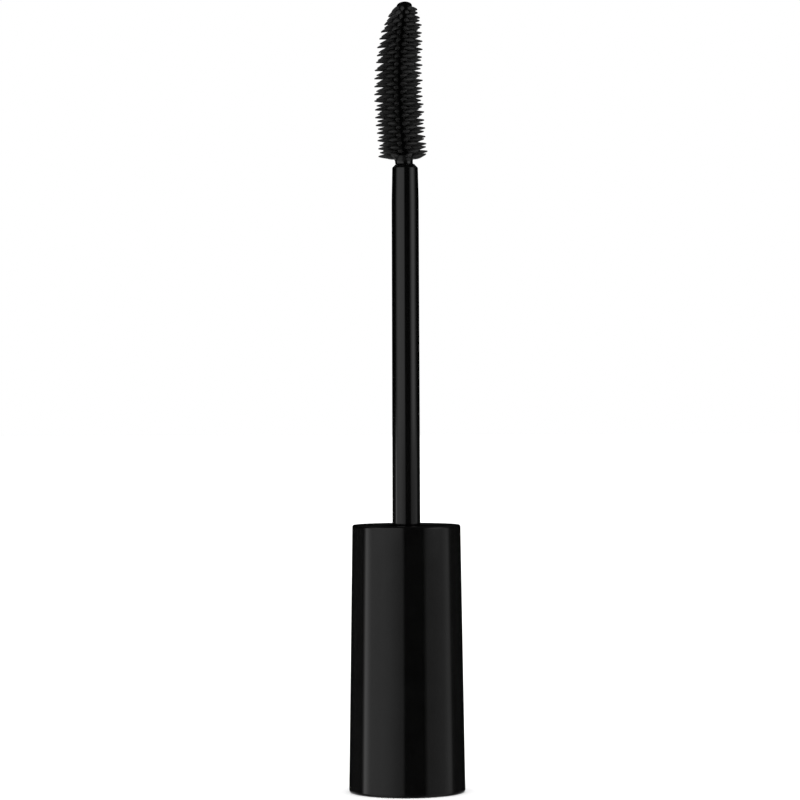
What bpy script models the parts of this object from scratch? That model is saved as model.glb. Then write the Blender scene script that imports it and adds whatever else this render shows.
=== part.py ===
"""Mascara cap with its wand and moulded brush, standing on the cap's closed end.

Frame, in metres: the origin is the centre of the cap's closed end, +Z runs up through the stem to
the brush, and the brush bows towards -X. The pieces, from the outside in, are the outer cap, the
threaded inner cap pressed into it, the stem snapped into the inner cap's floor, and the brush,
whose shank snaps into the stem's bore.
"""

import math

import bmesh
import bpy
from mathutils import Matrix, Vector

MM = 0.001
FIT_GAP = 0.3 * MM
WELD_DISTANCE = 0.001 * MM
SHARP_ANGLE = math.radians(35)
ROUNDING_SEGMENTS = 4

# Outer cap: a turned shell, a little wider at its closed end.
CAP_HEIGHT = 41.55 * MM
CAP_BASE_RADIUS = 9.05 * MM
CAP_RIM_RADIUS = 8.42 * MM
CAP_BASE_ROUNDING = 0.4 * MM
CAP_RIM_ROUNDING = 0.3 * MM
CAP_FLOOR = 1.4 * MM
CAP_BORE_RADIUS = 7.1 * MM
CAP_BORE_FILLET = 0.9 * MM
CAP_MOUTH_CHAMFER = 0.25 * MM
CAP_STEPS = 48

# Inner cap: threaded skirt above a floor, and a finned socket below it. A bottle's lip closes on the
# seat round a recess, which holds the stem's collar.
LINER_MOUTH_Z = CAP_HEIGHT - 0.6 * MM
LINER_SEAT_Z = 23.8 * MM
LINER_FLOOR_TOP_Z = 22.7 * MM
LINER_FLOOR_THICKNESS = 1.2 * MM
LINER_BODY_RADIUS = 6.5 * MM
LINER_BORE_RADIUS = 5.6 * MM
LINER_SOCKET_RADIUS = 4.7 * MM
LINER_SOCKET_BORE_RADIUS = 3.9 * MM
LINER_MOUTH_CHAMFER = 0.25 * MM
LINER_LIP_HEIGHT = 1.2 * MM
LINER_STEPS = 40
FIN_COUNT = 4
FIN_WIDTH = 0.9 * MM
RIB_COUNT = 12
RIB_WIDTH = 0.6 * MM
RIB_END_MARGIN = 1.0 * MM
ROOT_OVERLAP = 0.2 * MM

# Thread: one start of trapezoid section on the wall of the skirt.
THREAD_PITCH = 3.0 * MM
THREAD_TURNS = 3
THREAD_DEPTH = 0.5 * MM
THREAD_ROOT_WIDTH = 1.3 * MM
THREAD_CREST_WIDTH = 0.55 * MM
THREAD_START_Z = 28.0 * MM

# Stem: a rod with two slight tapers, and a head and a snap collar on either side of the liner's floor.
STEM_TOP_Z = 97.7 * MM
STEM_END_Z = 16.0 * MM
STEM_BASE_RADIUS = 2.19 * MM
STEM_WAIST_RADIUS = 2.11 * MM
STEM_WAIST_Z = 92.0 * MM
STEM_TOP_RADIUS = 2.0 * MM
STEM_CHAMFER = 0.58 * MM
STEM_STUB_RADIUS = 2.6 * MM
STUB_CHAMFER = 0.4 * MM
HEAD_RADIUS = LINER_SOCKET_BORE_RADIUS - FIT_GAP
HEAD_THICKNESS = 1.3 * MM
COLLAR_RADIUS = 2.85 * MM
COLLAR_THICKNESS = 0.6 * MM
COLLAR_LEAD_IN = 0.8 * MM
STEM_STEPS = 24

# Shank and bore: two snap rings on the shank sit in two grooves of the bore.
SHANK_RADIUS = 0.95 * MM
SHANK_END_Z = 89.0 * MM
SHANK_CHAMFER = 0.3 * MM
RING_HEIGHT = 0.2 * MM
RING_WIDTH = 0.5 * MM
RING_CENTRES_Z = (94.6 * MM, 91.6 * MM)

# Brush: a bowed core above the stem, with staggered rows of bristles on either side of two clear
# channels. Seen from its end it is an oval, and it narrows towards the domed tip.
SHOULDER_Z = STEM_TOP_Z + FIT_GAP
NECK_RADIUS = 1.39 * MM
BRUSH_TIP_Z = 123.0 * MM
TIP_RADIUS = 1.2 * MM
DOME_HEIGHT = 0.7 * MM
DOME_SEGMENTS = 5
BOW_DEPTH = 0.98 * MM
BOW_START_Z = 96.0 * MM
BOW_END_Z = 122.5 * MM
BOW_SKEW = 1.12
CORE_SPACING = 3.0 * MM
CORE_STEPS = 16
FIRST_RING_Z = 98.9 * MM
RING_SPACING = 0.62 * MM
BRISTLE_RINGS = 38
ROWS_PER_SIDE = 7
CHANNEL_TURN = math.radians(6)
CHANNEL_WIDTH = math.radians(40)
SIDE_REACH = 3.95 * MM
FRONT_REACH = 2.8 * MM
LENGTH_TAPER = 0.06
TIP_SHORTENING = 0.4
TIP_SHORTENING_POWER = 8
BRISTLE_ROOT_RADIUS = 0.40 * MM
BRISTLE_TIP_RADIUS = 0.13 * MM
BRISTLE_ROOT_DEPTH = 0.22 * MM
BRISTLE_SIDES = 4

# Colours, as linear RGB, and roughnesses.
GLOSS_BLACK = (0.008, 0.008, 0.008)
LINER_BLACK = (0.014, 0.014, 0.014)
BRUSH_BLACK = (0.010, 0.010, 0.010)
CAP_ROUGHNESS = 0.08
LINER_ROUGHNESS = 0.40
STEM_ROUGHNESS = 0.12
BRUSH_ROUGHNESS = 0.35


def clear_scene():
    for old in list(bpy.data.objects):
        bpy.data.objects.remove(old)


def make_collection(name, hidden=False):
    collection = bpy.data.collections.new(name)
    bpy.context.scene.collection.children.link(collection)
    collection.hide_render = hidden
    return collection


def make_material(name, colour, roughness):
    material = bpy.data.materials.new(name)
    material.use_nodes = True
    shader = material.node_tree.nodes["Principled BSDF"]
    shader.inputs["Base Color"].default_value = (*colour, 1.0)
    shader.inputs["Roughness"].default_value = roughness
    shader.inputs["Metallic"].default_value = 0.0
    return material


def make_object(name, mesh, collection):
    piece = bpy.data.objects.new(name, mesh)
    collection.objects.link(piece)
    return piece


def mesh_from(name, shape):
    """The mesh of a bmesh, which is freed."""
    mesh = bpy.data.meshes.new(name)
    shape.to_mesh(mesh)
    shape.free()
    return mesh


def hide_tool(tool):
    tool.hide_render = True
    tool.display_type = "WIRE"


def arc(centre, radius, start, end, segments):
    """Points (radius, height) of an arc in the profile's plane, from one angle to the other."""
    points = []
    for i in range(segments + 1):
        angle = start + (end - start) * i / segments
        points.append((centre[0] + radius * math.cos(angle), centre[1] + radius * math.sin(angle)))
    return points


def add_profile_line(shape, profile, closed):
    corners = [shape.verts.new((radius, 0.0, height)) for radius, height in profile]
    for start, end in zip(corners, corners[1:]):
        shape.edges.new((start, end))
    if closed:
        shape.edges.new((corners[-1], corners[0]))


def turned(name, profile, steps, collection, closed=False, turns=1, pitch=0.0):
    """A profile of (radius, height) points, turned round Z, or run along a helix if it has a pitch."""
    shape = bmesh.new()
    add_profile_line(shape, profile, closed)
    piece = make_object(name, mesh_from(name, shape), collection)
    screw = piece.modifiers.new("Turn", "SCREW")
    screw.axis = "Z"
    screw.steps = steps
    screw.render_steps = steps
    screw.iterations = turns
    screw.screw_offset = pitch
    screw.use_merge_vertices = pitch == 0.0
    screw.merge_threshold = WELD_DISTANCE
    return piece


def applied(piece):
    """The piece with its modifiers applied."""
    graph = bpy.context.evaluated_depsgraph_get()
    piece.data = bpy.data.meshes.new_from_object(piece.evaluated_get(graph))
    piece.modifiers.clear()
    return piece


def union(piece, tool):
    join = piece.modifiers.new(f"Join_{tool.name}", "BOOLEAN")
    join.operation = "UNION"
    join.solver = "EXACT"
    join.object = tool
    hide_tool(tool)


def shade(piece, material):
    """Smooth faces with sharp edges kept, and the piece's own material."""
    applied(piece)
    piece.data.materials.clear()
    piece.data.materials.append(material)
    piece.data.shade_smooth()
    piece.data.set_sharp_from_angle(angle=SHARP_ANGLE)


def add_radial_box(shape, inner, outer, width, low, high, angle):
    """A box from one radius to another, standing out from the Z axis at an angle."""
    size = Matrix.Diagonal((outer - inner, width, high - low, 1.0))
    place = Matrix.Translation(((inner + outer) / 2, 0.0, (low + high) / 2))
    turn = Matrix.Rotation(angle, 4, "Z")
    bmesh.ops.create_cube(shape, size=1.0, matrix=turn @ place @ size)


def make_outer_cap(collection, material):
    """The shell: inner floor, bore, rounded rim, tapered side and rounded closed end."""
    floor_corner = arc(
        (CAP_BORE_RADIUS - CAP_BORE_FILLET, CAP_FLOOR + CAP_BORE_FILLET),
        CAP_BORE_FILLET, -math.pi / 2, 0.0, ROUNDING_SEGMENTS,
    )
    mouth = [
        (CAP_BORE_RADIUS, CAP_HEIGHT - CAP_MOUTH_CHAMFER),
        (CAP_BORE_RADIUS + CAP_MOUTH_CHAMFER, CAP_HEIGHT),
    ]
    rim_centre = (CAP_RIM_RADIUS - CAP_RIM_ROUNDING, CAP_HEIGHT - CAP_RIM_ROUNDING)
    rim = arc(rim_centre, CAP_RIM_ROUNDING, math.pi / 2, 0.0, ROUNDING_SEGMENTS)
    base_centre = (CAP_BASE_RADIUS - CAP_BASE_ROUNDING, CAP_BASE_ROUNDING)
    base = arc(base_centre, CAP_BASE_ROUNDING, 0.0, -math.pi / 2, ROUNDING_SEGMENTS)
    profile = [(0.0, CAP_FLOOR), *floor_corner, *mouth, *rim, *base, (0.0, 0.0)]
    cap = turned("outer_cap", profile, CAP_STEPS, collection)
    shade(cap, material)


def liner_profile():
    """The liner's section, a closed loop, because the stem's hole runs through its floor."""
    floor_under = LINER_FLOOR_TOP_Z - LINER_FLOOR_THICKNESS
    socket_end = CAP_FLOOR + CAP_BORE_FILLET + FIT_GAP
    hole = STEM_BASE_RADIUS + FIT_GAP
    recess = COLLAR_RADIUS + FIT_GAP
    lip = CAP_BORE_RADIUS - FIT_GAP
    return [
        (lip, LINER_MOUTH_Z),
        (lip, LINER_MOUTH_Z - LINER_LIP_HEIGHT),
        (LINER_BODY_RADIUS, LINER_MOUTH_Z - LINER_LIP_HEIGHT),
        (LINER_BODY_RADIUS, floor_under),
        (LINER_SOCKET_RADIUS, floor_under),
        (LINER_SOCKET_RADIUS, socket_end),
        (LINER_SOCKET_BORE_RADIUS, socket_end),
        (LINER_SOCKET_BORE_RADIUS, floor_under),
        (hole, floor_under),
        (hole, LINER_FLOOR_TOP_Z),
        (recess, LINER_FLOOR_TOP_Z),
        (recess, LINER_SEAT_Z),
        (LINER_BORE_RADIUS, LINER_SEAT_Z),
        (LINER_BORE_RADIUS, LINER_MOUTH_Z - LINER_MOUTH_CHAMFER),
        (LINER_BORE_RADIUS + LINER_MOUTH_CHAMFER, LINER_MOUTH_Z),
    ]


def make_thread(tools):
    """The helical ridge, sunk a little into the wall, with its two ends filled."""
    crest = LINER_BORE_RADIUS - THREAD_DEPTH
    root = LINER_BORE_RADIUS + ROOT_OVERLAP
    section = [
        (root, THREAD_START_Z + THREAD_ROOT_WIDTH / 2),
        (root, THREAD_START_Z - THREAD_ROOT_WIDTH / 2),
        (crest, THREAD_START_Z - THREAD_CREST_WIDTH / 2),
        (crest, THREAD_START_Z + THREAD_CREST_WIDTH / 2),
    ]
    ridge = turned(
        "thread_ridge", section, LINER_STEPS, tools,
        closed=True, turns=THREAD_TURNS, pitch=THREAD_PITCH,
    )
    applied(ridge)
    shape = bmesh.new()
    shape.from_mesh(ridge.data)
    ends = [edge for edge in shape.edges if edge.is_boundary]
    bmesh.ops.holes_fill(shape, edges=ends, sides=len(section))
    bmesh.ops.recalc_face_normals(shape, faces=shape.faces)
    shape.to_mesh(ridge.data)
    shape.free()
    return ridge


def make_liner_ribs(tools):
    """Grip ribs outside the skirt, and fins that centre the socket in the outer cap."""
    shape = bmesh.new()
    reach = CAP_BORE_RADIUS - FIT_GAP
    floor_under = LINER_FLOOR_TOP_Z - LINER_FLOOR_THICKNESS
    socket_end = CAP_FLOOR + CAP_BORE_FILLET + FIT_GAP
    for i in range(RIB_COUNT):
        add_radial_box(
            shape, LINER_BODY_RADIUS - ROOT_OVERLAP, reach, RIB_WIDTH,
            LINER_FLOOR_TOP_Z, LINER_MOUTH_Z - LINER_LIP_HEIGHT - RIB_END_MARGIN,
            math.tau * (i + 0.5) / RIB_COUNT,
        )
    for i in range(FIN_COUNT):
        add_radial_box(
            shape, LINER_SOCKET_RADIUS - ROOT_OVERLAP, reach, FIN_WIDTH,
            socket_end + ROOT_OVERLAP, floor_under + ROOT_OVERLAP,
            math.tau * i / FIN_COUNT,
        )
    return make_object("liner_ribs", mesh_from("liner_ribs", shape), tools)


def make_inner_cap(collection, tools, material):
    """The threaded liner that screws onto a bottle's neck."""
    liner = turned("inner_cap", liner_profile(), LINER_STEPS, collection, closed=True)
    union(liner, make_thread(tools))
    union(liner, make_liner_ribs(tools))
    shade(liner, material)


def shank_profile(radius, ring_radius, ring_width, top, end):
    """The side of the shank or of its bore, from the top down, with its two snap rings."""
    points = [(radius, top)]
    for centre in RING_CENTRES_Z:
        points += [
            (radius, centre + ring_width / 2 + RING_HEIGHT),
            (ring_radius, centre + ring_width / 2),
            (ring_radius, centre - ring_width / 2),
            (radius, centre - ring_width / 2 - RING_HEIGHT),
        ]
    return [*points, (radius, end)]


def stem_profile():
    """The stem's section, from the floor of its bore up, over its top, and down its outside."""
    bore_floor = SHANK_END_Z - FIT_GAP
    bore = shank_profile(
        SHANK_RADIUS + FIT_GAP, SHANK_RADIUS + RING_HEIGHT + FIT_GAP, RING_WIDTH + 2 * FIT_GAP,
        STEM_TOP_Z, bore_floor,
    )
    collar_low = LINER_FLOOR_TOP_Z + FIT_GAP
    collar_high = collar_low + COLLAR_THICKNESS
    head_top = LINER_FLOOR_TOP_Z - LINER_FLOOR_THICKNESS - FIT_GAP
    head_low = head_top - HEAD_THICKNESS
    return [
        (0.0, bore_floor),
        *reversed(bore),
        (STEM_TOP_RADIUS - STEM_CHAMFER, STEM_TOP_Z),
        (STEM_TOP_RADIUS, STEM_TOP_Z - STEM_CHAMFER),
        (STEM_WAIST_RADIUS, STEM_WAIST_Z),
        (STEM_BASE_RADIUS, collar_high + COLLAR_LEAD_IN),
        (COLLAR_RADIUS, collar_high),
        (COLLAR_RADIUS, collar_low),
        (STEM_BASE_RADIUS, collar_low),
        (STEM_BASE_RADIUS, head_top),
        (HEAD_RADIUS, head_top),
        (HEAD_RADIUS, head_low),
        (STEM_STUB_RADIUS, head_low),
        (STEM_STUB_RADIUS, STEM_END_Z + STUB_CHAMFER),
        (STEM_STUB_RADIUS - STUB_CHAMFER, STEM_END_Z),
        (0.0, STEM_END_Z),
    ]


def make_stem(collection, material):
    stem = turned("stem", stem_profile(), STEM_STEPS, collection)
    shade(stem, material)


def core_radius(z):
    """The core thins evenly from the neck to the tip."""
    share = (z - SHOULDER_Z) / (BRUSH_TIP_Z - SHOULDER_Z)
    return NECK_RADIUS + (TIP_RADIUS - NECK_RADIUS) * share


def bow(z):
    """How far the core's centre line stands off the Z axis, along X. The shank is straight."""
    if z < SHOULDER_Z:
        return 0.0
    share = (z - BOW_START_Z) / (BOW_END_Z - BOW_START_Z)
    return -BOW_DEPTH * math.sin(math.pi * share**BOW_SKEW)


def dome(radius, height, foot, segments):
    """Points (radius, height) of a quarter of an ellipse, from its top on the axis down to its foot."""
    points = []
    for i in range(segments + 1):
        angle = math.pi / 2 * i / segments
        points.append((radius * math.sin(angle), foot + height * math.cos(angle)))
    return points


def core_profile():
    """The core's section: domed tip, thinning side, shoulder and shank."""
    dome_z = BRUSH_TIP_Z - DOME_HEIGHT
    stretches = round((dome_z - SHOULDER_Z) / CORE_SPACING)
    heights = [dome_z + (SHOULDER_Z - dome_z) * i / stretches for i in range(1, stretches + 1)]
    shank = shank_profile(
        SHANK_RADIUS, SHANK_RADIUS + RING_HEIGHT, RING_WIDTH, SHOULDER_Z, SHANK_END_Z + SHANK_CHAMFER
    )
    return [
        *dome(TIP_RADIUS, DOME_HEIGHT, dome_z, DOME_SEGMENTS),
        *[(core_radius(z), z) for z in heights],
        *shank,
        (SHANK_RADIUS - SHANK_CHAMFER, SHANK_END_Z),
        (0.0, SHANK_END_Z),
    ]


def ring_angles(ring):
    """The directions of a ring's bristles: every other row, on either side of the two channels."""
    spacing = (math.pi - CHANNEL_WIDTH) / (ROWS_PER_SIDE - 1)
    angles = []
    for row in range(ROWS_PER_SIDE):
        side = 1 if (row + ring) % 2 == 0 else -1
        angles.append(CHANNEL_TURN + side * (CHANNEL_WIDTH / 2 + row * spacing))
    return angles


def bristle_reach(ring, direction):
    """How far a bristle reaches from the core's centre line."""
    share = ring / (BRISTLE_RINGS - 1)
    reach = 1.0 / math.hypot(direction.x / SIDE_REACH, direction.y / FRONT_REACH)
    return reach * (1.0 - LENGTH_TAPER * share - TIP_SHORTENING * share**TIP_SHORTENING_POWER)


def add_bristle(shape, root, direction, length):
    """One tapered bristle, from its root inside the core outwards, with its flats to its neighbours."""
    flats = Matrix.Rotation(math.pi / BRISTLE_SIDES, 4, "Z")
    turn = direction.to_track_quat("Z", "Y").to_matrix().to_4x4() @ flats
    place = Matrix.Translation(root + direction * (length / 2))
    bmesh.ops.create_cone(
        shape, cap_ends=True, segments=BRISTLE_SIDES, radius1=BRISTLE_ROOT_RADIUS,
        radius2=BRISTLE_TIP_RADIUS, depth=length, matrix=place @ turn,
    )


def make_bristles(tools):
    """All the rings of bristles, each ring centred on the bowed core."""
    shape = bmesh.new()
    for ring in range(BRISTLE_RINGS):
        z = FIRST_RING_Z + ring * RING_SPACING
        centre = Vector((bow(z), 0.0, z))
        start = core_radius(z) - BRISTLE_ROOT_DEPTH
        for angle in ring_angles(ring):
            direction = Vector((math.sin(angle), -math.cos(angle), 0.0))
            length = bristle_reach(ring, direction) - start
            add_bristle(shape, centre + direction * start, direction, length)
    return make_object("bristles", mesh_from("bristles", shape), tools)


def make_brush(collection, tools, material):
    """The moulded brush: the turned core is bowed above the stem, and the bristles are joined to it."""
    brush = turned("brush", core_profile(), CORE_STEPS, collection)
    applied(brush)
    for vertex in brush.data.vertices:
        vertex.co.x += bow(vertex.co.z)
    union(brush, make_bristles(tools))
    shade(brush, material)


def main():
    clear_scene()
    parts = make_collection("mascara_applicator")
    tools = make_collection("tools", hidden=True)
    make_outer_cap(parts, make_material("outer_cap", GLOSS_BLACK, CAP_ROUGHNESS))
    make_inner_cap(parts, tools, make_material("inner_cap", LINER_BLACK, LINER_ROUGHNESS))
    make_stem(parts, make_material("stem", GLOSS_BLACK, STEM_ROUGHNESS))
    make_brush(parts, tools, make_material("brush", BRUSH_BLACK, BRUSH_ROUGHNESS))


main()
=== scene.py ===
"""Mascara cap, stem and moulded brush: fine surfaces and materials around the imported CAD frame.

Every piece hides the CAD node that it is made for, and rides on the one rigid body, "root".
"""

import math
import random

import bmesh
import bpy
from mathutils import Matrix, Vector


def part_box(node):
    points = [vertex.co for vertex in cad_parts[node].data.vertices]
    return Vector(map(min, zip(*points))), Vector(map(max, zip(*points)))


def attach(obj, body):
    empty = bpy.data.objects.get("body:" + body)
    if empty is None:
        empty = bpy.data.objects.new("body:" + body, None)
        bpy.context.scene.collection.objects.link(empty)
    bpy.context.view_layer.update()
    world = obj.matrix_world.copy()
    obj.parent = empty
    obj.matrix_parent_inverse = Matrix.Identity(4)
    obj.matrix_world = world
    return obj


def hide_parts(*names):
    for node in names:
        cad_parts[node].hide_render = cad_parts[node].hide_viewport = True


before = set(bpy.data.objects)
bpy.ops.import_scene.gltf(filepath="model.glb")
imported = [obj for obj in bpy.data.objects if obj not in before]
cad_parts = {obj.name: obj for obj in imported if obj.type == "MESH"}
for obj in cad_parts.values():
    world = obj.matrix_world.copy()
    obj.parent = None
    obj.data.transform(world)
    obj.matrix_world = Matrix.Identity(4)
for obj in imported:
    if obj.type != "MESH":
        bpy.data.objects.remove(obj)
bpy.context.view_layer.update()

MM = 0.001
BODY = "root"
SLIVER = 0.0005 * MM
CRISP = 0.05 * MM
SHARP_DEGREES = 40
BRUSH_SHARP_DEGREES = 60

# Places and sizes read from the frame.
CAP_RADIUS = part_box("outer_cap")[1].x
CAP_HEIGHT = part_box("outer_cap")[1].z
LINER_LOW_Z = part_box("inner_cap")[0].z
LINER_MOUTH_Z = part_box("inner_cap")[1].z
LINER_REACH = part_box("inner_cap")[1].x
STEM_LOW_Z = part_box("stem")[0].z
STEM_TOP_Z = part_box("stem")[1].z
STEM_HEAD_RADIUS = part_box("stem")[1].x
SHANK_END_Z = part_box("brush")[0].z
BRUSH_TIP_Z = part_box("brush")[1].z

# Outer cap.
CAP_RIM_RADIUS = 8.42 * MM
CAP_BORE_RADIUS = 7.1 * MM
CAP_FLOOR_Z = 1.4 * MM
CAP_FLOOR_ROUNDING = 0.9 * MM
CAP_MOUTH_BEVEL = 0.25 * MM
CAP_MOUTH_ROUNDING = 0.08 * MM
CAP_RIM_ROUNDING = 0.3 * MM
CAP_BASE_ROUNDING = 0.4 * MM
GATE_RADIUS = 1.1 * MM
GATE_DEPTH = 0.2 * MM
GATE_SLOPE = 0.15 * MM
GATE_ROUNDING = 0.06 * MM
CAP_STEPS = 192

# Inner cap.
LINER_BODY_RADIUS = 6.5 * MM
LINER_BORE_RADIUS = 5.6 * MM
LINER_SOCKET_RADIUS = 4.7 * MM
LINER_SOCKET_BORE_RADIUS = 3.9 * MM
LINER_HOLE_RADIUS = 2.35 * MM
LINER_RECESS_RADIUS = 3.15 * MM
LINER_SEAT_Z = 23.8 * MM
LINER_FLOOR_TOP_Z = 22.7 * MM
LINER_FLOOR_UNDER_Z = 21.5 * MM
LINER_LIP_HEIGHT = 1.2 * MM
LINER_MOUTH_BEVEL = 0.3 * MM
LINER_EDGE = 0.1 * MM
LINER_CORNER = 0.3 * MM
LINER_SOCKET_CORNER = 0.2 * MM
LINER_STEPS = 128
RIB_COUNT = 12
RIB_WIDTH = 0.6 * MM
RIB_LIP_GAP = 1.0 * MM
RIB_ROOT = 0.2 * MM
RIB_ROUNDING = 0.08 * MM
FIN_COUNT = 4
FIN_WIDTH = 0.9 * MM
FIN_END_GAP = 0.2 * MM
FIN_FLOOR_DEPTH = 0.3 * MM
THREAD_START_Z = 28.0 * MM
THREAD_PITCH = 3.0 * MM
THREAD_TURNS = 3
THREAD_CREST_RADIUS = 5.1 * MM
THREAD_ROOT = 0.2 * MM
THREAD_FADE = 0.12
THREAD_END_HEIGHT = 0.02
# The ridge's section: how far it stands in, as a share of its depth, and its height in MM.
THREAD_SECTION = (
    (0.0, 0.65), (0.0, -0.65), (0.72, -0.32), (0.95, -0.24),
    (1.0, -0.14), (1.0, 0.14), (0.95, 0.24), (0.72, 0.32),
)

# Stem.
STEM_BASE_RADIUS = 2.19 * MM
STEM_WAIST_RADIUS = 2.11 * MM
STEM_WAIST_Z = 92.0 * MM
STEM_WAIST_ROUNDING = 2.0 * MM
STEM_TOP_RADIUS = 2.0 * MM
STEM_TOP_EDGE = 0.04 * MM
STEM_CHAMFER = 0.58 * MM
STEM_CHAMFER_ROUNDING = 0.35 * MM
STEM_STUB_RADIUS = 2.6 * MM
STEM_STUB_ROUNDING = 0.4 * MM
BORE_CLEARANCE = 0.2 * MM
BORE_END_GAP = 0.2 * MM
BORE_END_ROUNDING = 0.1 * MM
GROOVE_CLEARANCE = 0.15 * MM
GROOVE_HALF_MOUTH = 0.55 * MM
GROOVE_HALF_FLOOR = 0.35 * MM
COLLAR_RADIUS = 2.85 * MM
COLLAR_TOP_Z = LINER_FLOOR_TOP_Z + 1.7 * MM
COLLAR_SHOULDER_Z = LINER_FLOOR_TOP_Z + 0.9 * MM
COLLAR_UNDER_Z = LINER_FLOOR_TOP_Z + 0.15 * MM
COLLAR_TOP_ROUNDING = 0.6 * MM
COLLAR_SHOULDER_ROUNDING = 0.15 * MM
COLLAR_UNDER_ROUNDING = 0.08 * MM
HEAD_TOP_Z = LINER_FLOOR_UNDER_Z - 0.3 * MM
HEAD_UNDER_Z = LINER_FLOOR_UNDER_Z - 1.6 * MM
HEAD_TOP_ROUNDING = 0.1 * MM
HEAD_UNDER_ROUNDING = 0.2 * MM
STEM_ARC_SEGMENTS = 5
STEM_STEPS = 96

# Brush core.
NECK_RADIUS = 1.39 * MM
TIP_RADIUS = 1.2 * MM
DOME_HEIGHT = 0.7 * MM
DOME_SEGMENTS = 16
NECK_GAP = 0.02 * MM
SHANK_RADIUS = 0.95 * MM
SHANK_END_ROUNDING = 0.3 * MM
SNAP_RING_RADIUS = 1.15 * MM
SNAP_RING_HALF_ROOT = 0.45 * MM
SNAP_RING_HALF_CREST = 0.25 * MM
SNAP_RING_CENTRES_Z = (94.6 * MM, 91.6 * MM)
BOW_DEPTH = 0.98 * MM
BOW_START_Z = 96.0 * MM
BOW_END_Z = 122.5 * MM
BOW_SKEW = 1.12
FLARE_HEIGHT = 0.5 * MM
FLARE_REACH = 0.85 * MM
CORE_STEPS = 64
CORE_SPACING = 0.2 * MM
# Painted shade: the core's sheen above the first ring, and the band of height over which it fades down
# to it.
PAINTED_SHADE_SHEEN = 0.04
PAINTED_SHADE_FADE = 0.4 * MM

# Bristles.
FIRST_RING_Z = 98.9 * MM
RING_SPACING = 0.62 * MM
BRISTLE_RINGS = 38
ROWS_PER_SIDE = 7
CHANNEL_TURN = math.radians(6)
CHANNEL_WIDTH = math.radians(40)
SIDE_REACH = 3.95 * MM
FRONT_REACH = 2.8 * MM
LENGTH_TAPER = 0.06
TIP_SHORTENING = 0.4
TIP_SHORTENING_POWER = 8
BRISTLE_SIDES = 8
BRISTLE_STAGES = 7
BRISTLE_ROOT_RADIUS = 0.43 * MM
CHANNEL_ROOT_RADIUS = 0.37 * MM
BRISTLE_TIP_RADIUS = 0.09 * MM
BRISTLE_ROOT_DEPTH = 0.3 * MM
BRISTLE_FULLNESS = 2.3
SHORTEST_SHARE = 0.94
# How far a bristle's tip droops, in MM: the START values are at the first ring, and the GAIN values
# are added by the last. The LEAN values lift a tip on the +X side, and lower it on the other.
DROOP_START = -0.08
DROOP_GAIN = 0.42
LEAN_START = 0.08
LEAN_GAIN = 0.2
DROOP_SPREAD = 0.07 * MM
SWAY_SPREAD = 0.06 * MM
DRAW_SEED = 11

# Plastics: noise scales are per metre.
MOTTLE_SCALE = 260.0
MOTTLE_DETAIL = 4.0
MOTTLE_RANGE = (0.3, 0.7)
GRAIN_DETAIL = 3.0
GRAIN_DEPTH = 0.02 * MM
ALONG_STEM = (1.0, 1.0, 0.05)

# Floor and light.
FLOOR_REACH = 5.0
FLOOR_COLOUR = (0.9, 0.9, 0.9, 1.0)
FLOOR_ROUGHNESS = 0.8
OVERHEAD_POWER = 5.2
OVERHEAD_SPREAD = math.radians(110)

# Camera: level, at half the object's height, far off with a long lens.
VIEW_DISTANCE = 504 * MM
VIEW_HEIGHT = 60.96 * MM
VIEW_SIDE = -0.92 * MM
VIEW_ROLL = math.radians(0.21)
SENSOR = 36.0
LENS = 145.65


# ---------------------------------------------------------------- shapes


def rounded(corners, closed=False, segments=6, support=0.03 * MM):
    """An outline through corners of (radius, height, rounding), with an arc at each rounded one."""
    points = []
    count = len(corners)
    for i, (x, z, rounding) in enumerate(corners):
        here = Vector((x, z))
        on_end = not closed and i in (0, count - 1)
        if rounding == 0.0 or on_end:
            points.append(here)
            continue
        before = (Vector(corners[i - 1][:2]) - here).normalized()
        after = (Vector(corners[(i + 1) % count][:2]) - here).normalized()
        half = before.angle(after) / 2
        reach = rounding / math.tan(half)
        centre = here + (before + after).normalized() * (rounding / math.sin(half))
        start = here + before * reach
        arm = start - centre
        end = here + after * reach
        sweep = math.atan2(arm.cross(end - centre), arm.dot(end - centre))
        points.append(start + before * support)
        for k in range(segments + 1):
            turn = Matrix.Rotation(sweep * k / segments, 2)
            points.append(centre + turn @ arm)
        points.append(end + after * support)
    return [(point.x, point.y) for point in points]


def mesh_object(name, shape):
    """An object from a bmesh, which is freed."""
    bmesh.ops.recalc_face_normals(shape, faces=shape.faces)
    mesh = bpy.data.meshes.new(name)
    shape.to_mesh(mesh)
    shape.free()
    piece = bpy.data.objects.new(name, mesh)
    bpy.context.scene.collection.objects.link(piece)
    return piece


def turned(name, outline, steps, closed=False):
    """A closed mesh turned round Z from an outline of (radius, height) points."""
    shape = bmesh.new()
    line = [shape.verts.new((radius, 0.0, height)) for radius, height in outline]
    edges = [shape.edges.new(pair) for pair in zip(line, line[1:])]
    if closed:
        edges.append(shape.edges.new((line[-1], line[0])))
    bmesh.ops.spin(
        shape, geom=line + edges, cent=(0, 0, 0), axis=(0, 0, 1), angle=math.tau,
        steps=steps, use_merge=True,
    )
    bmesh.ops.remove_doubles(shape, verts=shape.verts, dist=SLIVER)
    return mesh_object(name, shape)


def unite(piece, tool):
    """Joins the tool to the piece as one closed body, and removes the tool."""
    join = piece.modifiers.new("Join", "BOOLEAN")
    join.operation = "UNION"
    join.solver = "MANIFOLD"
    join.object = tool
    join.material_mode = "TRANSFER"
    graph = bpy.context.evaluated_depsgraph_get()
    joined = bpy.data.meshes.new_from_object(piece.evaluated_get(graph))
    piece.modifiers.clear()
    piece.data = joined
    bpy.data.objects.remove(tool)
    tidy_faces(piece, 0.0)


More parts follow.
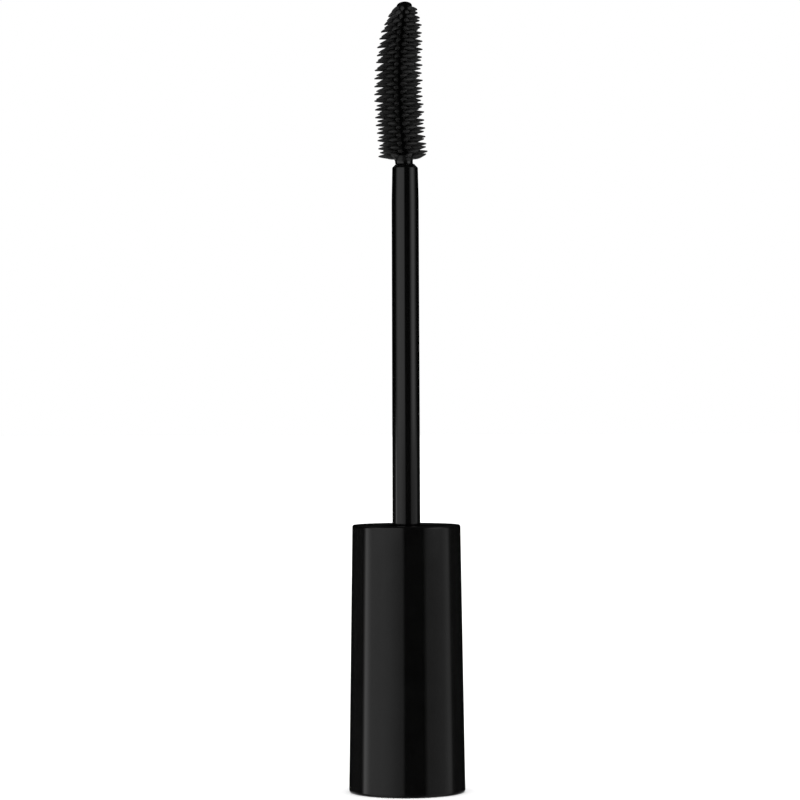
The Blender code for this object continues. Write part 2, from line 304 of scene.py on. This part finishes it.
def tidy_faces(piece, sliver):
    """Leaves plain triangles, without the slivers where two joined surfaces nearly meet."""
    shape = bmesh.new()
    shape.from_mesh(piece.data)
    bmesh.ops.dissolve_degenerate(shape, edges=shape.edges, dist=sliver)
    bmesh.ops.triangulate(shape, faces=shape.faces)
    shape.to_mesh(piece.data)
    shape.free()


def finish_piece(piece, node, material, sharp_degrees):
    """Shades the piece, gives it its material, hides its CAD node, and attaches it to the body."""
    piece.data.shade_smooth()
    piece.data.set_sharp_from_angle(angle=math.radians(sharp_degrees))
    if material:
        piece.data.materials.clear()
        piece.data.materials.append(material)
    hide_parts(node)
    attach(piece, BODY)


def add_radial_box(shape, inner, outer, width, low, high, angle, rounding):
    """A box with rounded edges, standing out from the Z axis at an angle."""
    size = Matrix.Diagonal((outer - inner, width, high - low, 1.0))
    place = Matrix.Translation(((inner + outer) / 2, 0.0, (low + high) / 2))
    turn = Matrix.Rotation(angle, 4, "Z")
    made = bmesh.ops.create_cube(shape, size=1.0, matrix=turn @ place @ size)
    edges = list({edge for vertex in made["verts"] for edge in vertex.link_edges})
    bmesh.ops.bevel(
        shape, geom=edges, offset=rounding, segments=2, profile=0.5, affect="EDGES"
    )


# ---------------------------------------------------------------- cap and liner


def make_outer_cap(material):
    """The glossy shell: bore, rounded rim, tapered side, and closed end with its gate mark."""
    corners = [
        (0.0, CAP_FLOOR_Z, 0.0),
        (CAP_BORE_RADIUS, CAP_FLOOR_Z, CAP_FLOOR_ROUNDING),
        (CAP_BORE_RADIUS, CAP_HEIGHT - CAP_MOUTH_BEVEL, CAP_MOUTH_ROUNDING),
        (CAP_BORE_RADIUS + CAP_MOUTH_BEVEL, CAP_HEIGHT, CAP_MOUTH_ROUNDING),
        (CAP_RIM_RADIUS, CAP_HEIGHT, CAP_RIM_ROUNDING),
        (CAP_RADIUS, 0.0, CAP_BASE_ROUNDING),
        (GATE_RADIUS, 0.0, GATE_ROUNDING),
        (GATE_RADIUS - GATE_SLOPE, GATE_DEPTH, GATE_ROUNDING),
        (0.0, GATE_DEPTH, 0.0),
    ]
    cap = turned("outer_cap_shell", rounded(corners), CAP_STEPS)
    finish_piece(cap, "outer_cap", material, SHARP_DEGREES)


def make_thread():
    """The helical ridge inside the skirt, which rises out of the wall at both of its ends."""
    root = LINER_BORE_RADIUS + THREAD_ROOT
    depth = LINER_BORE_RADIUS - THREAD_CREST_RADIUS
    steps = LINER_STEPS * THREAD_TURNS
    shape = bmesh.new()
    loops = []
    for i in range(steps + 1):
        share = i / steps
        rise = min(1.0, share / THREAD_FADE, (1.0 - share) / THREAD_FADE)
        rise = THREAD_END_HEIGHT + (1.0 - THREAD_END_HEIGHT) * math.sin(rise * math.pi / 2)
        angle = math.tau * THREAD_TURNS * share
        middle = THREAD_START_Z + THREAD_PITCH * THREAD_TURNS * share
        loop = []
        for inward, up in THREAD_SECTION:
            radius = root - inward * (THREAD_ROOT + depth * rise)
            loop.append(shape.verts.new((
                radius * math.cos(angle), radius * math.sin(angle), middle + up * MM
            )))
        loops.append(loop)
    for near, far in zip(loops, loops[1:]):
        for k in range(len(THREAD_SECTION)):
            after = (k + 1) % len(THREAD_SECTION)
            shape.faces.new((near[k], near[after], far[after], far[k]))
    shape.faces.new(loops[0])
    shape.faces.new(loops[-1])
    return mesh_object("thread_ridge", shape)


def make_ribs():
    """Grip ribs outside the skirt, and the fins of the socket below it."""
    shape = bmesh.new()
    for i in range(RIB_COUNT):
        add_radial_box(
            shape, LINER_BODY_RADIUS - RIB_ROOT, LINER_REACH, RIB_WIDTH,
            LINER_FLOOR_TOP_Z, LINER_MOUTH_Z - LINER_LIP_HEIGHT - RIB_LIP_GAP,
            math.tau * (i + 0.5) / RIB_COUNT, RIB_ROUNDING,
        )
    for i in range(FIN_COUNT):
        add_radial_box(
            shape, LINER_SOCKET_RADIUS - RIB_ROOT, LINER_REACH, FIN_WIDTH,
            LINER_LOW_Z + FIN_END_GAP, LINER_FLOOR_UNDER_Z + FIN_FLOOR_DEPTH,
            math.tau * i / FIN_COUNT, RIB_ROUNDING,
        )
    return mesh_object("liner_ribs", shape)


def make_inner_cap(material):
    """The threaded liner, with a lip at its mouth and a finned socket under its floor."""
    lip_z = LINER_MOUTH_Z - LINER_LIP_HEIGHT
    corners = [
        (LINER_REACH, LINER_MOUTH_Z, LINER_EDGE),
        (LINER_REACH, lip_z, LINER_EDGE),
        (LINER_BODY_RADIUS, lip_z, LINER_EDGE),
        (LINER_BODY_RADIUS, LINER_FLOOR_UNDER_Z, LINER_CORNER),
        (LINER_SOCKET_RADIUS, LINER_FLOOR_UNDER_Z, LINER_CORNER),
        (LINER_SOCKET_RADIUS, LINER_LOW_Z, LINER_EDGE),
        (LINER_SOCKET_BORE_RADIUS, LINER_LOW_Z, LINER_EDGE),
        (LINER_SOCKET_BORE_RADIUS, LINER_FLOOR_UNDER_Z, LINER_SOCKET_CORNER),
        (LINER_HOLE_RADIUS, LINER_FLOOR_UNDER_Z, LINER_EDGE),
        (LINER_HOLE_RADIUS, LINER_FLOOR_TOP_Z, LINER_EDGE),
        (LINER_RECESS_RADIUS, LINER_FLOOR_TOP_Z, LINER_EDGE),
        (LINER_RECESS_RADIUS, LINER_SEAT_Z, LINER_EDGE),
        (LINER_BORE_RADIUS, LINER_SEAT_Z, LINER_CORNER),
        (LINER_BORE_RADIUS, LINER_MOUTH_Z - LINER_MOUTH_BEVEL, LINER_EDGE),
        (LINER_BORE_RADIUS + LINER_MOUTH_BEVEL, LINER_MOUTH_Z, LINER_EDGE),
    ]
    liner = turned("threaded_liner", rounded(corners, closed=True), LINER_STEPS, closed=True)
    unite(liner, make_thread())
    unite(liner, make_ribs())
    tidy_faces(liner, SLIVER)
    finish_piece(liner, "inner_cap", material, SHARP_DEGREES)


# ---------------------------------------------------------------- stem


def make_stem(material):
    """The rod: bore with two snap grooves, chamfered top, long taper, snap collar, head and stub."""
    bore = SHANK_RADIUS + BORE_CLEARANCE
    bore_end_z = SHANK_END_Z - BORE_END_GAP
    groove = SNAP_RING_RADIUS + GROOVE_CLEARANCE
    corners = [(0.0, bore_end_z, 0.0), (bore, bore_end_z, BORE_END_ROUNDING)]
    for centre in reversed(SNAP_RING_CENTRES_Z):
        corners += [
            (bore, centre - GROOVE_HALF_MOUTH, CRISP),
            (groove, centre - GROOVE_HALF_FLOOR, CRISP),
            (groove, centre + GROOVE_HALF_FLOOR, CRISP),
            (bore, centre + GROOVE_HALF_MOUTH, CRISP),
        ]
    corners += [
        (bore, STEM_TOP_Z, STEM_TOP_EDGE),
        (STEM_TOP_RADIUS - STEM_CHAMFER, STEM_TOP_Z, STEM_TOP_EDGE),
        (STEM_TOP_RADIUS, STEM_TOP_Z - STEM_CHAMFER, STEM_CHAMFER_ROUNDING),
        (STEM_WAIST_RADIUS, STEM_WAIST_Z, STEM_WAIST_ROUNDING),
        (STEM_BASE_RADIUS, COLLAR_TOP_Z, COLLAR_TOP_ROUNDING),
        (COLLAR_RADIUS, COLLAR_SHOULDER_Z, COLLAR_SHOULDER_ROUNDING),
        (COLLAR_RADIUS, COLLAR_UNDER_Z, COLLAR_UNDER_ROUNDING),
        (STEM_BASE_RADIUS, COLLAR_UNDER_Z, CRISP),
        (STEM_BASE_RADIUS, HEAD_TOP_Z, CRISP),
        (STEM_HEAD_RADIUS, HEAD_TOP_Z, HEAD_TOP_ROUNDING),
        (STEM_HEAD_RADIUS, HEAD_UNDER_Z, HEAD_UNDER_ROUNDING),
        (STEM_STUB_RADIUS, HEAD_UNDER_Z, HEAD_UNDER_ROUNDING),
        (STEM_STUB_RADIUS, STEM_LOW_Z, STEM_STUB_ROUNDING),
        (0.0, STEM_LOW_Z, 0.0),
    ]
    stem = turned("stem_rod", rounded(corners, segments=STEM_ARC_SEGMENTS), STEM_STEPS)
    finish_piece(stem, "stem", material, SHARP_DEGREES)


# ---------------------------------------------------------------- brush


def core_radius(z):
    """The core thins evenly from neck to tip, and flares round the first ring of bristles."""
    share = (z - STEM_TOP_Z) / (BRUSH_TIP_Z - STEM_TOP_Z)
    nearness = max(0.0, 1.0 - abs(z - FIRST_RING_Z) / FLARE_REACH)
    return NECK_RADIUS + (TIP_RADIUS - NECK_RADIUS) * share + FLARE_HEIGHT * nearness**2


def bow(z):
    """How far the core's centre line stands off the Z axis, along X."""
    share = max(0.0, (z - BOW_START_Z) / (BOW_END_Z - BOW_START_Z))
    return -BOW_DEPTH * math.sin(math.pi * share**BOW_SKEW)


def make_core():
    """The core with its domed tip above, and the shank with its snap rings below."""
    dome_z = BRUSH_TIP_Z - DOME_HEIGHT
    corners = []
    for i in range(DOME_SEGMENTS + 1):
        angle = math.pi / 2 * i / DOME_SEGMENTS
        corners.append((TIP_RADIUS * math.sin(angle), dome_z + DOME_HEIGHT * math.cos(angle), 0.0))
    shoulder_z = STEM_TOP_Z + NECK_GAP
    stretches = round((dome_z - shoulder_z) / CORE_SPACING)
    for i in range(1, stretches + 1):
        z = dome_z + (shoulder_z - dome_z) * i / stretches
        corners.append((core_radius(z), z, 0.0))
    corners.append((SHANK_RADIUS, shoulder_z, CRISP))
    for centre in SNAP_RING_CENTRES_Z:
        corners += [
            (SHANK_RADIUS, centre + SNAP_RING_HALF_ROOT, CRISP),
            (SNAP_RING_RADIUS, centre + SNAP_RING_HALF_CREST, CRISP),
            (SNAP_RING_RADIUS, centre - SNAP_RING_HALF_CREST, CRISP),
            (SHANK_RADIUS, centre - SNAP_RING_HALF_ROOT, CRISP),
        ]
    corners += [(SHANK_RADIUS, SHANK_END_Z, SHANK_END_ROUNDING), (0.0, SHANK_END_Z, 0.0)]
    core = turned("lash_brush", rounded(corners), CORE_STEPS)
    for vertex in core.data.vertices:
        vertex.co.x += bow(vertex.co.z)
    return core


def bristle_reach(ring, direction):
    """How far a bristle reaches from the core's centre line: the brush's outline is an ellipse."""
    share = ring / (BRISTLE_RINGS - 1)
    reach = 1.0 / math.hypot(direction.x / SIDE_REACH, direction.y / FRONT_REACH)
    return reach * (1.0 - LENGTH_TAPER * share - TIP_SHORTENING * share**TIP_SHORTENING_POWER)


def ring_rows(ring):
    """A ring's bristles, as (angle, root radius), in every other row beside two clear channels."""
    spacing = (math.pi - CHANNEL_WIDTH) / (ROWS_PER_SIDE - 1)
    rows = []
    for row in range(ROWS_PER_SIDE):
        side = 1 if (row + ring) % 2 == 0 else -1
        angle = CHANNEL_TURN + side * (CHANNEL_WIDTH / 2 + row * spacing)
        beside_channel = row in (0, ROWS_PER_SIDE - 1)
        rows.append((angle, CHANNEL_ROOT_RADIUS if beside_channel else BRISTLE_ROOT_RADIUS))
    return rows


def add_bristle(shape, root, direction, sag, length, root_radius):
    """One closed bristle, bent by sag, a vector, at its tip."""
    side = direction.cross(Vector((0.0, 0.0, 1.0))).normalized()
    swelling = root_radius - BRISTLE_TIP_RADIUS
    loops = []
    for stage in range(BRISTLE_STAGES + 1):
        share = stage / BRISTLE_STAGES
        centre = root + direction * (length * share) + sag * share**2
        ahead = (direction * length + sag * (2 * share)).normalized()
        across = (side - ahead * side.dot(ahead)).normalized()
        up = across.cross(ahead)
        radius = BRISTLE_TIP_RADIUS + swelling * (1.0 - share**BRISTLE_FULLNESS)
        loop = []
        for k in range(BRISTLE_SIDES):
            angle = math.tau * k / BRISTLE_SIDES
            arm = across * math.cos(angle) + up * math.sin(angle)
            loop.append(shape.verts.new(centre + arm * radius))
        loops.append(loop)
    for near, far in zip(loops, loops[1:]):
        for k in range(BRISTLE_SIDES):
            after = (k + 1) % BRISTLE_SIDES
            shape.faces.new((near[k], near[after], far[after], far[k]))
    shape.faces.new(loops[0])
    shape.faces.new(loops[-1])


def make_bristles():
    """Staggered rings of bristles, each bristle bent a little its own way.

    Even and odd rings are two objects, because the roots of neighbouring rings run into each other.
    """
    draw = random.Random(DRAW_SEED)
    shapes = [bmesh.new(), bmesh.new()]
    for ring in range(BRISTLE_RINGS):
        z = FIRST_RING_Z + ring * RING_SPACING
        centre = Vector((bow(z), 0.0, z))
        start = core_radius(z) - BRISTLE_ROOT_DEPTH
        for angle, root_radius in ring_rows(ring):
            direction = Vector((math.sin(angle), -math.cos(angle), 0.0))
            length = (bristle_reach(ring, direction) - start) * draw.uniform(SHORTEST_SHARE, 1.0)
            up = ring / (BRISTLE_RINGS - 1)
            droop = DROOP_GAIN * up + DROOP_START - (LEAN_START + LEAN_GAIN * up) * direction.x
            droop = droop * MM + draw.gauss(0.0, DROOP_SPREAD)
            sway = draw.gauss(0.0, SWAY_SPREAD)
            sag = Vector((0.0, 0.0, -droop)) + direction.cross(Vector((0.0, 0.0, 1.0))) * sway
            root = centre + direction * start
            add_bristle(shapes[ring % 2], root, direction, sag, length, root_radius)
    return [mesh_object("bristles", shape) for shape in shapes]


def make_brush(core_material, bristle_material):
    """One moulding: a polished core, and bristles with a duller surface."""
    brush = make_core()
    brush.data.materials.append(core_material)
    for bristles in make_bristles():
        bristles.data.materials.append(bristle_material)
        unite(brush, bristles)
    finish_piece(brush, "brush", None, BRUSH_SHARP_DEGREES)


# ---------------------------------------------------------------- materials


def new_material(name):
    """A material with its default nodes, and those nodes and links."""
    material = bpy.data.materials.new(name)
    material.use_nodes = True
    return material, material.node_tree.nodes, material.node_tree.links


def add_noise(nodes, links, place, scale, detail):
    noise = nodes.new("ShaderNodeTexNoise")
    noise.inputs["Scale"].default_value = scale
    noise.inputs["Detail"].default_value = detail
    links.new(place, noise.inputs["Vector"])
    return noise.outputs["Fac"]


def add_range(nodes, links, value, before, after):
    """Maps a value from one range, (low, high), to another."""
    change = nodes.new("ShaderNodeMapRange")
    change.inputs["From Min"].default_value = before[0]
    change.inputs["From Max"].default_value = before[1]
    change.inputs["To Min"].default_value = after[0]
    change.inputs["To Max"].default_value = after[1]
    links.new(value, change.inputs["Value"])
    return change


def plastic(name, tones, roughness, grain, grain_scale, stretch=(1.0, 1.0, 1.0), ior=1.5):
    """Black moulded plastic: mottled tone and roughness, and a fine grain in the surface."""
    material, nodes, links = new_material(name)
    shader = nodes["Principled BSDF"]
    shader.inputs["IOR"].default_value = ior
    place = nodes.new("ShaderNodeTexCoord")
    scale = nodes.new("ShaderNodeMapping")
    scale.inputs["Scale"].default_value = stretch
    links.new(place.outputs["Object"], scale.inputs["Vector"])

    mottle = add_noise(nodes, links, scale.outputs["Vector"], MOTTLE_SCALE, MOTTLE_DETAIL)
    colour = nodes.new("ShaderNodeValToRGB")
    for stop, position, tone in zip(colour.color_ramp.elements, MOTTLE_RANGE, tones):
        stop.position = position
        stop.color = (tone, tone, tone, 1.0)
    links.new(mottle, colour.inputs["Fac"])
    links.new(colour.outputs["Color"], shader.inputs["Base Color"])
    rough = add_range(nodes, links, mottle, MOTTLE_RANGE, roughness)
    links.new(rough.outputs["Result"], shader.inputs["Roughness"])

    bump = nodes.new("ShaderNodeBump")
    bump.inputs["Strength"].default_value = grain
    bump.inputs["Distance"].default_value = GRAIN_DEPTH
    fine = add_noise(nodes, links, scale.outputs["Vector"], grain_scale, GRAIN_DETAIL)
    links.new(fine, bump.inputs["Height"])
    links.new(bump.outputs["Normal"], shader.inputs["Normal"])
    return material


def painted_shade_above(material, height):
    """Lowers the material's sheen above a height: painted shade. It darkens the whole core above that
    height, the dome too, to stand for the shade between the bristles.
    """
    nodes, links = material.node_tree.nodes, material.node_tree.links
    sheen = nodes["Principled BSDF"].inputs["Specular IOR Level"]
    place = nodes.new("ShaderNodeTexCoord")
    split = nodes.new("ShaderNodeSeparateXYZ")
    links.new(place.outputs["Object"], split.inputs["Vector"])
    band = (height - PAINTED_SHADE_FADE, height + PAINTED_SHADE_FADE)
    fade = add_range(nodes, links, split.outputs["Z"], band, (sheen.default_value, PAINTED_SHADE_SHEEN))
    links.new(fade.outputs["Result"], sheen)
    return material


# ---------------------------------------------------------------- stage, light, camera


def make_floor():
    """A plain pale floor, which the gloss doesn't mirror."""
    shape = bmesh.new()
    bmesh.ops.create_grid(shape, x_segments=2, y_segments=2, size=FLOOR_REACH)
    floor = mesh_object("studio_floor", shape)
    material, nodes, links = new_material("studio_floor")
    shader = nodes["Principled BSDF"]
    shader.inputs["Base Color"].default_value = FLOOR_COLOUR
    shader.inputs["Roughness"].default_value = FLOOR_ROUGHNESS
    floor.data.materials.append(material)
    floor.visible_glossy = False


# Brightness at each compass direction, in degrees from the camera with the +X side positive: soft
# panels to the left and the right, and black card elsewhere. A level view finds the low panels in the
# cap, and the high panels in the stem and brush. A view from well above finds the round panels.
LOW_PANELS = (
    (-180, 0.004), (-152, 0.006), (-140, 0.022), (-112, 0.048), (-104, 0.042), (-99, 0.25),
    (-94, 1.15), (-90, 1.1), (-85, 0.8), (-79, 0.58), (-50, 0.58), (-35, 0.50), (-20, 0.36),
    (-9, 0.27), (-5, 0.08), (-3, 0.02), (35, 0.02), (39, 0.12), (43, 0.24), (60, 0.27), (80, 0.31),
    (93, 0.44), (98, 0.38), (104, 0.08), (112, 0.034), (130, 0.024), (150, 0.007), (180, 0.004),
)
HIGH_PANELS = (
    (-180, 0.004), (-112, 0.004), (-100, 0.01), (-92, 0.03), (-83, 0.30), (-72, 0.60), (-62, 0.72),
    (-50, 0.69), (-24, 0.65), (-13, 0.60), (-4, 0.02), (34, 0.02), (42, 0.20), (50, 0.56),
    (60, 0.84), (70, 0.92), (80, 0.62), (90, 0.26), (98, 0.09), (106, 0.012), (120, 0.004),
    (180, 0.004),
)
ROUND_PANELS = (
    (-180, 0.26), (-160, 0.34), (-135, 0.30), (-115, 0.06), (-95, 0.16), (-75, 0.42), (-30, 0.36),
    (-8, 0.10), (32, 0.08), (48, 0.30), (85, 0.42), (105, 0.10), (125, 0.08), (145, 0.24),
    (180, 0.26),
)
CEILING = (0.04, 0.04, 0.04, 1.0)

# Where the panels change, going up: from round to low, from low to high, and from high to the ceiling.
# Each is a band of heights on the sky's unit sphere.
ROUND_STEP = (-0.26, -0.14)
PANEL_STEP = (-0.016, -0.002)
PANEL_TOP = (0.34, 0.57)


def add_panels(nodes, links, share, panels):
    """A ramp of brightness round the compass."""
    ramp = nodes.new("ShaderNodeValToRGB")
    links.new(share, ramp.inputs["Fac"])
    stops = ramp.color_ramp.elements
    while len(stops) > 1:
        stops.remove(stops[-1])
    for i, (degrees, level) in enumerate(panels):
        position = (degrees + 180) / 360
        stop = stops[0] if i == 0 else stops.new(position)
        stop.position = position
        stop.color = (level, level, level, 1.0)
    return ramp.outputs["Color"]


def add_blend(nodes, links, height, limits, below, above):
    """Goes from one colour to another between two heights of the sky."""
    rise = add_range(nodes, links, height, limits, (0.0, 1.0))
    rise.interpolation_type = "SMOOTHSTEP"
    blend = nodes.new("ShaderNodeMix")
    blend.data_type = "RGBA"
    links.new(rise.outputs["Result"], blend.inputs["Factor"])
    links.new(below, blend.inputs[6])
    links.new(above, blend.inputs[7])
    return blend.outputs[2]


def make_world():
    """Soft panels at the sides for reflections, and a white backdrop for the camera."""
    world = bpy.data.worlds.new("studio")
    bpy.context.scene.world = world
    world.use_nodes = True
    nodes, links = world.node_tree.nodes, world.node_tree.links
    nodes.clear()
    place = nodes.new("ShaderNodeTexCoord")
    split = nodes.new("ShaderNodeSeparateXYZ")
    links.new(place.outputs["Generated"], split.inputs["Vector"])
    ahead = nodes.new("ShaderNodeMath")
    ahead.operation = "MULTIPLY"
    ahead.inputs[1].default_value = -1.0
    links.new(split.outputs["Y"], ahead.inputs[0])
    compass = nodes.new("ShaderNodeMath")
    compass.operation = "ARCTAN2"
    links.new(split.outputs["X"], compass.inputs[0])
    links.new(ahead.outputs[0], compass.inputs[1])
    circle = add_range(nodes, links, compass.outputs[0], (-math.pi, math.pi), (0.0, 1.0))
    share, height = circle.outputs["Result"], split.outputs["Z"]
    under = add_panels(nodes, links, share, ROUND_PANELS)
    low = add_panels(nodes, links, share, LOW_PANELS)
    high = add_panels(nodes, links, share, HIGH_PANELS)
    ceiling = nodes.new("ShaderNodeRGB")
    ceiling.outputs[0].default_value = CEILING
    base = add_blend(nodes, links, height, ROUND_STEP, under, low)
    sides = add_blend(nodes, links, height, PANEL_STEP, base, high)
    sky = add_blend(nodes, links, height, PANEL_TOP, sides, ceiling.outputs[0])

    studio = nodes.new("ShaderNodeBackground")
    links.new(sky, studio.inputs["Color"])
    white = nodes.new("ShaderNodeBackground")
    white.inputs["Color"].default_value = (1.0, 1.0, 1.0, 1.0)
    path = nodes.new("ShaderNodeLightPath")
    mix = nodes.new("ShaderNodeMixShader")
    links.new(path.outputs["Is Camera Ray"], mix.inputs[0])
    links.new(studio.outputs[0], mix.inputs[1])
    links.new(white.outputs[0], mix.inputs[2])
    out = nodes.new("ShaderNodeOutputWorld")
    links.new(mix.outputs[0], out.inputs["Surface"])


def make_lights():
    """A wide soft light overhead, which brightens the floor without a reflection in the gloss."""
    light = bpy.data.lights.new("overhead", "SUN")
    light.energy = OVERHEAD_POWER
    light.angle = OVERHEAD_SPREAD
    lamp = bpy.data.objects.new("overhead", light)
    lamp.location = (0.0, 0.0, 1.0)
    lamp.visible_glossy = False
    bpy.context.scene.collection.objects.link(lamp)


def make_camera():
    """A long lens, level with the middle of the object."""
    data = bpy.data.cameras.new("camera")
    data.sensor_width = SENSOR
    data.lens = LENS
    camera = bpy.data.objects.new("camera", data)
    camera.location = (VIEW_SIDE, -VIEW_DISTANCE, VIEW_HEIGHT)
    camera.rotation_euler = (math.radians(90), VIEW_ROLL, 0.0)
    bpy.context.scene.collection.objects.link(camera)
    bpy.context.scene.camera = camera


def main():
    make_camera()
    make_outer_cap(plastic(
        "gloss_cap", tones=(0.0008, 0.0018), roughness=(0.05, 0.08), grain=0.03, grain_scale=900.0
    ))
    make_inner_cap(plastic(
        "satin_liner", tones=(0.010, 0.016), roughness=(0.34, 0.46), grain=0.25, grain_scale=4000.0
    ))
    make_stem(plastic(
        "gloss_stem", tones=(0.0006, 0.0014), roughness=(0.07, 0.10), grain=0.05, grain_scale=900.0,
        stretch=ALONG_STEM, ior=1.6,
    ))
    core = plastic(
        "brush_core", tones=(0.0006, 0.0014), roughness=(0.09, 0.13), grain=0.05, grain_scale=900.0,
        ior=1.6,
    )
    bristles = plastic(
        "brush_bristles", tones=(0.010, 0.016), roughness=(0.30, 0.40), grain=0.15,
        grain_scale=5000.0,
    )
    # The core's sheen is lowered above the first ring: painted shade between the bristles.
    make_brush(painted_shade_above(core, FIRST_RING_Z), bristles)
    make_floor()
    make_world()
    make_lights()
    bpy.context.scene.view_settings.view_transform = "Standard"


main()
